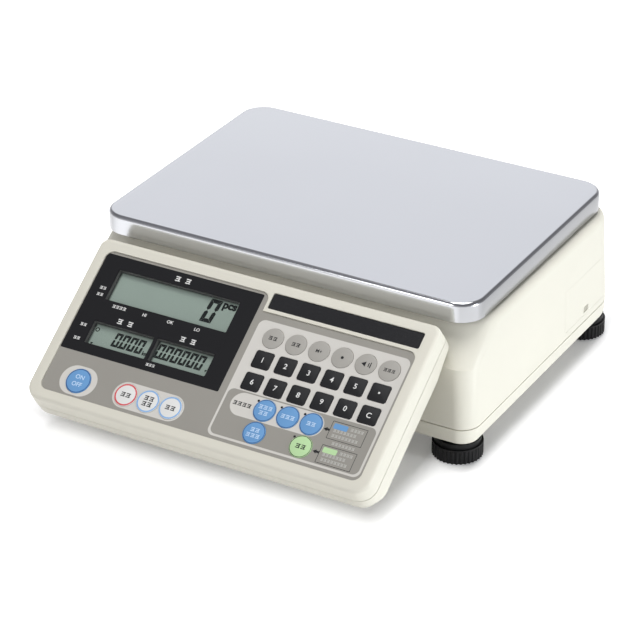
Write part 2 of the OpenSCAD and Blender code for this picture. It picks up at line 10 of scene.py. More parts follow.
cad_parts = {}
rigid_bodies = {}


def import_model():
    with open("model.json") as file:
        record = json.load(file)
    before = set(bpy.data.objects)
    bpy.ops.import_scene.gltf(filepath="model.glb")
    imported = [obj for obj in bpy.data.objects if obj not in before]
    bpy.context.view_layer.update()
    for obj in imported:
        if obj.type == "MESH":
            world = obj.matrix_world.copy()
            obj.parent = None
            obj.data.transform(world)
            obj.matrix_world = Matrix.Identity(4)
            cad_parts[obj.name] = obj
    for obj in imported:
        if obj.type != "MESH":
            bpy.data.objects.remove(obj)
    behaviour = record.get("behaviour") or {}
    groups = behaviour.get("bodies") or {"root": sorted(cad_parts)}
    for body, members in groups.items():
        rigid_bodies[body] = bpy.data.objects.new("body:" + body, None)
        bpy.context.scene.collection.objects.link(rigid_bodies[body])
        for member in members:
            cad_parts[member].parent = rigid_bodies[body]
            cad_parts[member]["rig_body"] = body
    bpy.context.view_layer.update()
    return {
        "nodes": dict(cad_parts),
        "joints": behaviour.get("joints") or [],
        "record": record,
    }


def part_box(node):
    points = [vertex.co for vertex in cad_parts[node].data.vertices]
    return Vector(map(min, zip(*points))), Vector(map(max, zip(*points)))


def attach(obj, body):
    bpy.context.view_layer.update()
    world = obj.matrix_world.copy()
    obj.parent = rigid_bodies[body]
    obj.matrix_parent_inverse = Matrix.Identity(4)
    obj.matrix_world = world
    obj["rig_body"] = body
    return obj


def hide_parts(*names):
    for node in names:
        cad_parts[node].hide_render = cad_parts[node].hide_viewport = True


bl_info = {
    "name": "Counting Scale",
    "version": (1, 0, 0),
    "blender": (4, 5, 0),
    "location": "View3D > Sidebar > Scale",
    "description": "Builds the looks of a counting scale around its packed solids",
    "category": "Object",
}

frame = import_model()
NODES = frame["nodes"]
MM = 0.001


def ink(red, green, blue):
    """The linear colour of a printed tone given in 0 to 255 display values."""
    def linear(value):
        value = value / 255
        return value / 12.92 if value <= 0.04045 else ((value + 0.055) / 1.055) ** 2.4

    return (linear(red), linear(green), linear(blue))


def toned(tone, share):
    """A tone made darker or brighter by a share."""
    return tuple(share * channel for channel in tone)


def body_of(node):
    """The name of the body that carries a CAD node."""
    return NODES[node]["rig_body"]


def keypad_tilt():
    """The tilt of the keypad, from the direction in which its keys are pressed."""
    axis = next(j["axis"] for j in frame["joints"] if j["name"] == "key_5_press")
    return math.atan2(axis[1], -axis[2])


# Driving sizes and colours


def length(name, description, millimetres):
    """A length property with its default in millimetres."""
    return bpy.props.FloatProperty(
        name=name,
        description=description,
        subtype="DISTANCE",
        unit="LENGTH",
        precision=4,
        default=millimetres * MM,
    )


class ScaleSizes(bpy.types.PropertyGroup):
    """Sizes that the dressed pieces are worked out from."""

    tilt: bpy.props.FloatProperty(
        name="Keypad tilt",
        description="Angle of the keypad to the bench",
        subtype="ANGLE",
        default=keypad_tilt(),
    )
    film_foot: length("Film foot", "Distance from the keypad's middle down to the film's lower edge", 57)
    film: length("Film", "Thickness of the printed film", 0.5)
    key_rise: length("Key rise", "Height of a key above the film", 0.4)
    print_depth: length("Print", "Thickness of a printed mark", 0.03)
    lcd_face: length("Display depth", "Depth of the display glass below the film's face", 3.5)
    pan_corner: length("Pan corner", "Plan radius of the pan's corners", 19)
    pan_fold: length("Pan fold", "Radius of the pan's folded edge", 3)
    pan_sheet: length("Pan sheet", "Thickness of the pan's sheet", 1)


def colour(name, description, tone):
    """A colour property with a display tone as its default."""
    return bpy.props.FloatVectorProperty(
        name=name,
        description=description,
        subtype="COLOR",
        size=3,
        min=0,
        max=1,
        default=ink(*tone),
    )


class ScaleColours(bpy.types.PropertyGroup):
    """Colours that a user would change."""

    case: colour("Case", "Moulded case and display housing", (219, 216, 203))
    steel: colour("Pan steel", "Satin steel of the pan", (177, 178, 181))
    film: colour("Film", "Ground of the printed film", (155, 152, 145))
    light: colour("Key field", "Pale fields around the keys", (212, 209, 203))
    black: colour("Black print", "Display field, digit keys and name strip", (30, 30, 32))
    blue: colour("Blue keys", "Blue function keys", (108, 158, 208))
    green: colour("Green key", "Green function key", (188, 222, 168))
    grey: colour("Grey keys", "Round grey keys", (170, 167, 161))
    lcd: colour("Display", "Ground of the liquid crystal displays", (150, 166, 156))


def size(name):
    """A driving length, in millimetres."""
    return getattr(bpy.context.scene.scale_sizes, name) / MM


def colours():
    """The colours in use."""
    return bpy.context.scene.scale_colours


# Shader maths


class Field:
    """A shader socket in a Python expression, which adds the Math nodes that the expression needs."""

    def __init__(self, wiring, socket):
        self.wiring = wiring
        self.socket = socket

    def maths(self, operation, *values, clamp=False):
        settings = {"operation": operation, "use_clamp": clamp}
        return self.wiring.add("ShaderNodeMath", settings, dict(enumerate(values)))

    def __add__(self, other):
        return self.maths("ADD", self, other)

    def __radd__(self, other):
        return self.maths("ADD", other, self)

    def __sub__(self, other):
        return self.maths("SUBTRACT", self, other)

    def __rsub__(self, other):
        return self.maths("SUBTRACT", other, self)

    def __mul__(self, other):
        return self.maths("MULTIPLY", self, other)

    def __rmul__(self, other):
        return self.maths("MULTIPLY", other, self)

    def __pow__(self, other):
        return self.maths("POWER", self, other)

    def __abs__(self):
        return self.maths("ABSOLUTE", self)

    def most(self, other):
        return self.maths("MAXIMUM", self, other)

    def least(self, other):
        return self.maths("MINIMUM", self, other)

    def mask(self, soft):
        """1 where the value is below zero, 0 above it, with an edge of the given softness."""
        return self.maths("MULTIPLY_ADD", self, -0.5 / soft, 0.5, clamp=True)


class Wiring:
    """A node tree under construction, and a way to add nodes to it."""

    def __init__(self, tree):
        self.tree = tree

    def fill(self, socket, value):
        """Links a field to a socket, or writes a constant on it."""
        if isinstance(value, Field):
            self.tree.links.new(value.socket, socket)
        elif socket.type == "RGBA":
            socket.default_value = (*value[:3], 1)
        else:
            socket.default_value = value

    def add(self, kind, settings=None, values=None, out=0):
        """Adds a node of the given type: settings first, then the values or links of its sockets."""
        node = self.tree.nodes.new(kind)
        for setting, value in (settings or {}).items():
            setattr(node, setting, value)
        for socket, value in (values or {}).items():
            self.fill(node.inputs[socket], value)
        return Field(self, node.outputs[out])

    def mix(self, low, high, factor):
        """A colour between two colours."""
        return self.add("ShaderNodeMix", {"data_type": "RGBA"}, {0: factor, 6: low, 7: high}, out=2)

    def across(self, vector):
        """The X and Y values of a vector."""
        return [self.add("ShaderNodeSeparateXYZ", None, {0: vector}, out=axis) for axis in ("X", "Y")]

    def seen(self):
        """1 for the rays that show the background: camera, glossy and transmission rays."""
        names = ("Is Camera Ray", "Is Glossy Ray", "Is Transmission Ray")
        camera, glossy, clear = [self.add("ShaderNodeLightPath", out=name) for name in names]
        return camera.most(glossy).most(clear)


class Finish(Wiring):
    """A material under construction."""

    def __init__(self, name, **constants):
        self.material = bpy.data.materials.new(name)
        self.material.use_nodes = True
        super().__init__(self.material.node_tree)
        self.shader = self.tree.nodes["Principled BSDF"]
        for socket, value in constants.items():
            self.set(socket.replace("_", " ").title().replace("Ior", "IOR"), value)

    def set(self, socket, value):
        """Links a field to one of the shader's sockets, or writes a constant on it."""
        self.fill(self.shader.inputs[socket], value)

    def place(self):
        """Object coordinates, in metres."""
        return self.add("ShaderNodeTexCoord", out=3)

    def stretched(self, scale):
        """Object coordinates drawn out by a scale for each axis."""
        values = {"Vector": self.place(), "Scale": scale}
        return self.add("ShaderNodeMapping", {"vector_type": "POINT"}, values)

    def noise(self, scale, detail=2.0, place=None):
        """Noise from 0 to 1 with the given number of waves in a metre."""
        values = {"Vector": place or self.place(), "Scale": scale, "Detail": detail}
        return self.add("ShaderNodeTexNoise", {"noise_dimensions": "3D"}, values)

    def shade(self, tone, amount, factor):
        """A colour that darkens by an amount where the factor is low."""
        return self.mix(toned(tone, 1 - amount), tuple(tone), factor)

    def bump(self, height, distance, strength=1.0):
        """Relief of a height field, with its full height in metres."""
        values = {"Height": height, "Distance": distance, "Strength": strength}
        self.set("Normal", self.add("ShaderNodeBump", None, values))


# The keypad's own frame: x across, y up the slope and z out of the face, in millimetres


def panel_matrix():
    """From the keypad's frame to the part's frame."""
    tilt = bpy.context.scene.scale_sizes.tilt
    low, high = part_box("keypad_overlay")
    foot = size("film_foot") * MM
    film = size("film") * MM
    centre_y = low.y + foot * math.cos(tilt)
    centre_z = low.z + foot * math.sin(tilt) + film * math.cos(tilt)
    place = Matrix.Translation((0, centre_y, centre_z))
    return place @ Matrix.Rotation(tilt, 4, "X") @ Matrix.Scale(MM, 4)


DISPLAY_FIELD = (-126.4, -23.5, 2.6, 54.4)
KEY_FRAME = (8.0, -54.6, 125.2, 36.6)
LOWER_FIELD = (9.6, -53.0, 123.6, -17.6)
BLUE_PILL = (14.9, -36.0, 86.4, -18.6)
POWER_OVAL = (-114.6, -55.6, -85.8, -33.2)
RING_PILL = (-71.0, -54.4, -15.0, -34.6)
PALE_PILLS = ((BLUE_PILL, 8.7), (POWER_OVAL, 11.1), (RING_PILL, 9.8))
WINDOW_WELLS = (-113.5, -17.5, -10.0, 46.5)
WINDOWS = ((-111.4, 19.7, -12.2, 44.3), (-110.8, -15.5, -61.2, 2.2), (-58.4, -15.5, -12.2, 2.2))
# Shifts of each window's sides to the part of its glass without painted shade: in at the left and top, out
# at the right and bottom
WINDOW_INSETS = (1.7, -2, 2, -0.9)


def field_distance(x, y, box, radius):
    """Distance from a round-cornered box in a plane, below zero inside it."""
    low_x, low_y, high_x, high_y = box
    out_x = abs(x - (low_x + high_x) / 2) - ((high_x - low_x) / 2 - radius)
    out_y = abs(y - (low_y + high_y) / 2) - ((high_y - low_y) / 2 - radius)
    outside = (out_x.most(0) ** 2 + out_y.most(0) ** 2) ** 0.5
    inside = out_x.most(out_y).least(0)
    return outside + inside - radius


def panel_place(finish):
    """The place across and up the keypad's plane, in millimetres."""
    back = panel_matrix().inverted()
    values = {
        "Vector": finish.place(),
        "Location": back.to_translation(),
        "Rotation": back.to_euler(),
        "Scale": (1 / MM, 1 / MM, 1 / MM),
    }
    place = finish.add("ShaderNodeMapping", {"vector_type": "POINT"}, values)
    return finish.across(place)


# Finishes: grain in waves to the metre, relief in metres


SPARK_GRAIN = 2200
CASE_CLOUD = 14
FILM_GRAIN = 3200
FILM_CLOUD = 25
RUBBER_GRAIN = 2600
RUBBER_DUST = 160
CASTING_GRAIN = 900
PAN_CLOUD = 9
PAN_STROKES = (30, 2600, 2600)
TOOL_MARKS = (300, 5000, 300)
COPPER_CELLS = 140
COPPER_LINE = 0.06
PAN_SKIN = 0.001
# Shares of the steel's tone for painted shade on the pan's sides and a painted reflection on its front fold
PAN_SIDE_SHADE_SHARE = 0.66
PAN_FRONT_REFLECTION_SHARE = 1.4
# Painted shade on the walls inside the keypad's display wells
WELL_SHADE_TONE = ink(84, 84, 82)
# Painted shade on the display glass at the left and top of each window
WINDOW_EDGE_SHADE_TONE = ink(44, 50, 48)


def moulded_plastic(name, tone, roughness=0.5, specular=0.5, well=None):
    """Moulded plastic with a fine spark texture, faintly uneven, and with painted shade within a well of the
    keypad.
    """
    finish = Finish(name, specular_ior_level=specular)
    fine = finish.noise(SPARK_GRAIN)
    broad = finish.noise(CASE_CLOUD, 3)
    ground = finish.shade(tone, 0.05, broad)
    if well:
        x, y = panel_place(finish)
        # Painted shade within the well
        inside = field_distance(x, y, well, 1).mask(0.1)
        ground = finish.mix(ground, WELL_SHADE_TONE, inside)
    finish.set("Base Color", ground)
    finish.set("Roughness", roughness + 0.12 * (fine - 0.5) + 0.06 * (broad - 0.5))
    finish.bump(fine, 0.00003, 0.35)
    return finish.material


def satin_steel(name, tone):
    """Satin steel sheet, rolled along X, with faint cloudiness, painted shade on its sides and a painted
    reflection on its front fold.
    """
    finish = Finish(name, metallic=1.0)
    strokes = finish.noise(1.0, 3, finish.stretched(PAN_STROKES))
    cloud = finish.noise(PAN_CLOUD)
    low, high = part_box("pan")
    x, y = finish.across(finish.place())
    clear_of_side_shade = (abs(x) - (high.x - PAN_SKIN)).mask(PAN_SKIN)
    front_reflection_mask = (y - (low.y + PAN_SKIN)).mask(PAN_SKIN)
    flat = finish.shade(tone, 0.05, cloud)
    # The sheet's own tone is even: the darker sides are painted shade and the brighter front fold is a
    # painted reflection
    folded = finish.mix(toned(tone, PAN_SIDE_SHADE_SHARE), flat, clear_of_side_shade)
    finish.set("Base Color", finish.mix(folded, toned(tone, PAN_FRONT_REFLECTION_SHARE), front_reflection_mask))
    finish.set("Roughness", 0.16 + 0.06 * strokes + 0.03 * cloud)
    finish.bump(strokes, 0.000004, 0.25)
    return finish.material


def cast_metal(name, tone):
    """Sand-cast light metal."""
    finish = Finish(name, metallic=1.0)
    grain = finish.noise(CASTING_GRAIN, 4)
    finish.set("Base Color", finish.shade(tone, 0.2, grain))
    finish.set("Roughness", 0.45 + 0.2 * grain)
    finish.bump(grain, 0.0001, 0.5)
    return finish.material


def machined_metal(name, tone, roughness=0.3):
    """Milled or turned metal with fine tool marks."""
    finish = Finish(name, metallic=1.0)
    marks = finish.noise(1.0, 2, finish.stretched(TOOL_MARKS))
    finish.set("Base Color", finish.shade(tone, 0.12, marks))
    finish.set("Roughness", roughness + 0.12 * marks)
    finish.bump(marks, 0.00001, 0.4)
    return finish.material


def soft_rubber(name, tone):
    """Matte rubber with a dusty bloom."""
    finish = Finish(name)
    dust = finish.noise(RUBBER_DUST, 4)
    grain = finish.noise(RUBBER_GRAIN)
    finish.set("Base Color", finish.mix(tuple(tone), toned(tone, 2.2), dust * 0.6))
    finish.set("Roughness", 0.75 + 0.15 * (dust - 0.5))
    finish.bump(grain, 0.00004, 0.5)
    return finish.material


def circuit_laminate(name, tone):
    """Solder mask over copper tracks."""
    finish = Finish(name, coat_weight=0.3, coat_roughness=0.2)
    values = {"Vector": finish.place(), "Scale": COPPER_CELLS}
    distance = finish.add("ShaderNodeTexVoronoi", {"feature": "DISTANCE_TO_EDGE"}, values)
    tracks = (distance - COPPER_LINE).mask(0.02)
    finish.set("Base Color", finish.mix(tuple(tone), toned(tone, 1.7), tracks))
    finish.set("Roughness", 0.4 + 0.1 * finish.noise(500))
    return finish.material


def clear_sheet(name, tone, alpha):
    """Thin clear plastic, drawn as a faint tinted gloss."""
    finish = Finish(name, base_color=tone, alpha=alpha)
    haze = finish.noise(60)
    finish.set("Roughness", 0.05 + 0.05 * haze)
    finish.material.surface_render_method = "BLENDED"
    return finish.material


def bare_film(name):
    """Textured polyester film before its print, with its fine grain and its broad cloudiness."""
    finish = Finish(name, specular_ior_level=0.25)
    grain = finish.noise(FILM_GRAIN)
    broad = finish.noise(FILM_CLOUD)
    finish.bump(grain, 0.00001, 0.3)
    return finish, grain, broad


def printed(name, tone, roughness=0.45):
    """Textured polyester film, printed in one tone."""
    finish, grain, broad = bare_film(name)
    finish.set("Base Color", finish.shade(tone, 0.05, broad))
    finish.set("Roughness", roughness + 0.1 * (grain - 0.5))
    return finish.material


def printed_film(name):
    """The keypad's film: a grey ground with the black display field and the pale fields around the keys."""
    finish, grain, broad = bare_film(name)
    x, y = panel_place(finish)
    edge = 0.06
    frame_mask = field_distance(x, y, KEY_FRAME, 5.0).mask(edge)
    lower_mask = field_distance(x, y, LOWER_FIELD, 4.5).mask(edge)
    pale = frame_mask - lower_mask.least(frame_mask)
    for box, radius in PALE_PILLS:
        pale = pale.most(field_distance(x, y, box, radius).mask(edge))
    black = field_distance(x, y, DISPLAY_FIELD, 1.2).mask(edge)
    ground = finish.shade(colours().film, 0.06, broad)
    light = finish.shade(colours().light, 0.04, broad)
    tone = finish.mix(finish.mix(ground, light, pale), tuple(colours().black), black)
    finish.set("Base Color", tone)
    finish.set("Roughness", 0.42 + 0.1 * (grain - 0.5) - 0.12 * black)
    return finish.material


def lcd_ground(name):
    """Grey-green display glass, a little cloudy, with painted shade at the left and top of each window."""
    finish = Finish(name, coat_weight=0.4, coat_roughness=0.1)
    broad = finish.noise(18)
    x, y = panel_place(finish)
    # Painted shade along the left and top of each window, where the well's walls would shade the glass
    gap = 1
    for window in WINDOWS:
        box = [side + inset for side, inset in zip(window, WINDOW_INSETS)]
        lit = field_distance(x, y, box, 0.5)
        gap = (1 - lit.mask(0.7)).least(gap)
    ground = finish.shade(colours().lcd, 0.14, broad)
    finish.set("Base Color", finish.mix(ground, WINDOW_EDGE_SHADE_TONE, gap))
    finish.set("Roughness", 0.35 + 0.1 * broad)
    return finish.material


FINISHES = {}


def finish_for(name, maker, *values):
    """Makes a material once and gives it again after that."""
    if name not in FINISHES:
        FINISHES[name] = maker(name, *values)
    return FINISHES[name]


def case_plastic():
    return finish_for("case_cream", moulded_plastic, colours().case)


def black_plastic():
    return finish_for("moulded_black", moulded_plastic, ink(15, 15, 16), 0.5, 0.2)


def black_rubber():
    return finish_for("rubber_black", soft_rubber, ink(38, 38, 38))


PRINT_TONES = {
    "print_white": ink(232, 232, 230),
    "print_dark": ink(40, 40, 42),
    "print_pale": ink(196, 195, 190),
    "print_ice": ink(196, 220, 245),
    "print_navy": ink(52, 84, 140),
    "print_red": ink(214, 92, 96),
    "print_sky": ink(140, 180, 226),
}


def print_in(name):
    """The finish of marks in one of the printed tones."""
    return finish_for(name, printed, PRINT_TONES[name])


# Pieces


def make_piece(name, shape, material, body, slot, smooth_angle=30, replaced=()):
    """Turns a bmesh into a piece that rides on a body, with its edges sharp above an angle."""
    limit = math.radians(smooth_angle)
    for face in shape.faces:
        face.smooth = True
    for edge in shape.edges:
        edge.smooth = edge.calc_face_angle(0) < limit
    mesh = bpy.data.meshes.new(name)
    shape.to_mesh(mesh)
    shape.free()
    mesh.materials.append(material)
    piece = bpy.data.objects.new(name, mesh)
    bpy.context.scene.collection.objects.link(piece)
    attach(piece, body)
    if replaced:
        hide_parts(*replaced)
    return piece


def slot_of(node):
    """The record's material slot of a CAD node."""
    return next(p["material_slot"] for p in frame["record"]["subparts"] if p["node"] == node)


def soften(piece, name, width, angle, harden):
    """Rounds the edges of a piece that turn by more than an angle."""
    bevel = piece.modifiers.new(name, "BEVEL")
    bevel.width = width
    bevel.segments = 2
    bevel.limit_method = "ANGLE"
    bevel.angle_limit = math.radians(angle)
    bevel.harden_normals = harden


WELD = 0.000002
FLAT_ANGLE = math.radians(0.5)


def dressed_copy(node, material, edge_width=0.0003, smooth_angle=27):
    """Puts a merged copy in a CAD node's place, with smooth rounds and softened sharp edges."""
    shape = bmesh.new()
    shape.from_mesh(NODES[node].data)
    bmesh.ops.remove_doubles(shape, verts=shape.verts, dist=WELD)
    bmesh.ops.dissolve_limit(
        shape,
        angle_limit=FLAT_ANGLE,
        use_dissolve_boundaries=False,
        verts=shape.verts,
        edges=shape.edges,
    )
    body, slot = body_of(node), slot_of(node)
    piece = make_piece(node + "_skin", shape, material, body, slot, smooth_angle, (node,))
    soften(piece, "soft_edges", edge_width, 50, True)


def paint(material, *nodes):
    """Gives CAD nodes that stay visible a finish."""
    for node in nodes:
        slots = NODES[node].data.materials
        slots.clear()
        slots.append(material)


def block(low, high, corner=0.0, edge=0.0, corner_segments=8, edge_segments=3):
    """A box from its low to its high corner, with upright edges and then its top edges rounded."""
    shape = bmesh.new()
    low, high = Vector(low), Vector(high)
    bmesh.ops.create_cube(shape, size=1)
    bmesh.ops.scale(shape, vec=high - low, verts=shape.verts)
    bmesh.ops.translate(shape, vec=(low + high) / 2, verts=shape.verts)
    if corner:
        tall = 0.9 * (high - low).z
        upright = [e for e in shape.edges if abs((e.verts[0].co - e.verts[1].co).z) > tall]
        round_edges(shape, upright, corner, corner_segments)
    if edge:
        round_top(shape, high.z, edge, edge_segments)
    return shape


def disc(centre, radius, low, high, edge=0.0, sides=64):
    """A round slab with its top edge rounded."""
    shape = bmesh.new()
    depth = high - low
    bmesh.ops.create_cone(
        shape, cap_ends=True, cap_tris=False, segments=sides, radius1=radius, radius2=radius, depth=depth)
    bmesh.ops.translate(shape, vec=(centre[0], centre[1], (low + high) / 2), verts=shape.verts)
    if edge:
        round_top(shape, high, edge, 3)
    return shape


def round_edges(shape, edges, radius, segments):
    """Rounds the given edges."""
    bmesh.ops.bevel(
        shape, geom=edges, offset=radius, affect="EDGES", segments=segments, profile=0.5, material=-1)


def round_top(shape, top, radius, segments):
    """Rounds the edges around the top face."""
    level = [e for e in shape.edges if all(abs(v.co.z - top) < 1e-6 for v in e.verts)]
    rim = [e for e in level if len(e.link_faces) == 2 and e.calc_face_angle(0) > 0.5]
    round_edges(shape, rim, radius, segments)


def join(shapes):
    """One bmesh of several."""
    whole = bmesh.new()
    for shape in shapes:
        mesh = bpy.data.meshes.new("part")
        shape.to_mesh(mesh)
        shape.free()
        whole.from_mesh(mesh)
        bpy.data.meshes.remove(mesh)
    return whole


def on_panel(shape):
    """Moves a shape from the keypad's frame to the part's frame."""
    bmesh.ops.transform(shape, matrix=panel_matrix(), verts=shape.verts)
    return shape


FONT_SIZE = 1.38


def lettering(words, height, centre, base, depth, weight=0.02):
    """Raised text in the keypad's plane, centred on a point and thickened by a share of its height."""
    curve = bpy.data.curves.new("lettering", "FONT")
    curve.body = words
    curve.size = height * FONT_SIZE
    curve.align_x = "CENTER"
    curve.align_y = "CENTER"
    curve.offset = weight * height
    curve.extrude = depth / 2
    holder = bpy.data.objects.new("lettering", curve)
    bpy.context.scene.collection.objects.link(holder)
    bpy.context.view_layer.update()
    depsgraph = bpy.context.evaluated_depsgraph_get()
    mesh = bpy.data.meshes.new_from_object(holder.evaluated_get(depsgraph))
    bpy.data.objects.remove(holder)
    shape = bmesh.new()
    shape.from_mesh(mesh)
    bpy.data.meshes.remove(mesh)
    bmesh.ops.remove_doubles(shape, verts=shape.verts, dist=0.001)
    low = Vector([min(v.co[i] for v in shape.verts) for i in range(3)])
    high = Vector([max(v.co[i] for v in shape.verts) for i in range(3)])
    shift = Vector((centre[0], centre[1], base + depth / 2)) - (low + high) / 2
    bmesh.ops.translate(shape, vec=shift, verts=shape.verts)
    return shape


def bar(centre, width, height, base, depth, radius=None):
    """A printed bar, with its corners rounded by a radius or by a share of its narrow side."""
    radius = min(width, height) * 0.3 if radius is None else radius
    low = (centre[0] - width / 2, centre[1] - height / 2, base)
    high = (centre[0] + width / 2, centre[1] + height / 2, base + depth)
    return block(low, high, radius, 0, 3)


# A plain sign of height 1: its flat strokes as (height, width), its stem, its line and the pitch of a row
FLAT_STROKES = ((0.4, 1.0), (0, 0.8), (-0.4, 1.0))
STEM = 0.25
STROKE = 0.2
SIGN_PITCH = 1.25


def glyphs(count, centre, height, base, depth):
    """A row of plain signs, each of three flat strokes and a stem."""
    pitch = SIGN_PITCH * height
    line = STROKE * height
    shapes = []
    for i in range(count):
        x = centre[0] + pitch * (i - (count - 1) / 2)
        for row, width in FLAT_STROKES:
            shapes.append(bar((x, centre[1] + row * height), width * height, line, base, depth, 0))
        shapes.append(bar((x + STEM * height, centre[1]), line, height, base, depth, 0))
    return shapes


def ring(centre, outer, inner, base, depth, sides=72):
    """A flat ring, spun from its section."""
    shape = bmesh.new()
    section = [(inner, base), (outer, base), (outer, base + depth), (inner, base + depth)]
    verts = [shape.verts.new((centre[0] + r, centre[1], z)) for r, z in section]
    edges = [shape.edges.new((verts[i], verts[(i + 1) % 4])) for i in range(4)]
    bmesh.ops.spin(
        shape,
        geom=verts + edges,
        cent=(centre[0], centre[1], 0),
        axis=(0, 0, 1),
        angle=2 * math.pi,
        steps=sides,
        use_merge=True,
    )
    bmesh.ops.recalc_face_normals(shape, faces=shape.faces)
    return shape


QUARTER_TURN = math.pi / 2


def arrow(centre, radius, base, depth, turn):
    """A printed triangle, pointing up the slope at no turn."""
    shape = bmesh.new()
    bmesh.ops.create_cone(
        shape, cap_ends=True, cap_tris=False, segments=3, radius1=radius, radius2=radius, depth=depth)
    bmesh.ops.rotate(shape, matrix=Matrix.Rotation(turn, 3, "Z"), verts=shape.verts)
    bmesh.ops.translate(shape, vec=(centre[0], centre[1], base + depth / 2), verts=shape.verts)
    return shape


# Weighing pan and case


class SCALE_OT_pan(bpy.types.Operator):
    """Folds the weighing pan from satin steel sheet."""

    bl_idname = "scale.pan"
    bl_label = "Weighing Pan"

    def execute(self, context):
        low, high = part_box("pan")
        shape = block(low, high, size("pan_corner") * MM, size("pan_fold") * MM, 14, 6)
        bottom = [f for f in shape.faces if f.normal.z < -0.9]
        bmesh.ops.delete(shape, geom=bottom, context="FACES_ONLY")
        material = finish_for("pan_satin_steel", satin_steel, colours().steel)
        piece = make_piece("pan_sheet", shape, material, "weighing_pan", "pan_steel", 40, ("pan",))
        sheet = piece.modifiers.new("sheet", "SOLIDIFY")
        sheet.thickness = size("pan_sheet") * MM
        sheet.offset = -1
        soften(piece, "hem", 0.0002, 60, False)
        return {"FINISHED"}


class SCALE_OT_case(bpy.types.Operator):
    """Finishes the two halves of the case and the cover in its wall."""

    bl_idname = "scale.case"
    bl_label = "Case"

    def execute(self, context):
        for node in ("upper_case", "bottom_case", "side_cover"):
            dressed_copy(node, case_plastic())
        return {"FINISHED"}


class SCALE_OT_housing(bpy.types.Operator):
    """Finishes the display housing and its neck."""

    bl_idname = "scale.housing"
    bl_label = "Display Housing"

    def execute(self, context):
        dressed_copy("display_rear_shell", case_plastic())
        # The bezel's window wells carry painted shade
        bezel = finish_for("bezel_cream", moulded_plastic, colours().case, 0.5, 0.5, WINDOW_WELLS)
        dressed_copy("display_bezel", bezel)
        return {"FINISHED"}


# Film, marks and displays, with places and sizes in the keypad's frame


TITLES = ((-61, 49), (-87.5, 6.3), (-36, 6.3))
TITLE_SPLIT = 4.2
TITLE_HEIGHT = 3.8
INDICATORS = ((-116.8, 27.5), (-116.8, 22.3), (-117.5, -2.9), (-117.5, -13.9))
INDICATOR_HEIGHT = 2.2
LIMIT_NAMES = ((-76.5, "HI"), (-55.3, "OK"), (-33.5, "LO"))
LIMIT_LEVEL = 16
LIMIT_HEIGHT = 2.5
KEY_DOTS = ((33.9, -21.5), (51.9, -21.5), (69.9, -21.5), (69.9, -38.8))
NOTE_ARROWS = ((88.6, -27.4), (88.2, -44.7))
NOTES = ((-33.4, -20.4), (-51.8, -38.6))
NOTE_SIDES = (91.4, 117.4)
NOTE_LINE = 0.35
NOTE_ROWS = ((110.4, 4), (102.6, 7), (104.0, 8))
NOTE_FIRST_ROW = 2.8
NOTE_ROW_PITCH = 3.7
NOTE_HEIGHT = 2.0
SWATCH_SIDES = (93.0, 103.4)
BLUE_SWATCH = (-25.6, -21.6)
GREEN_SWATCH = (-43.8, -39.8)


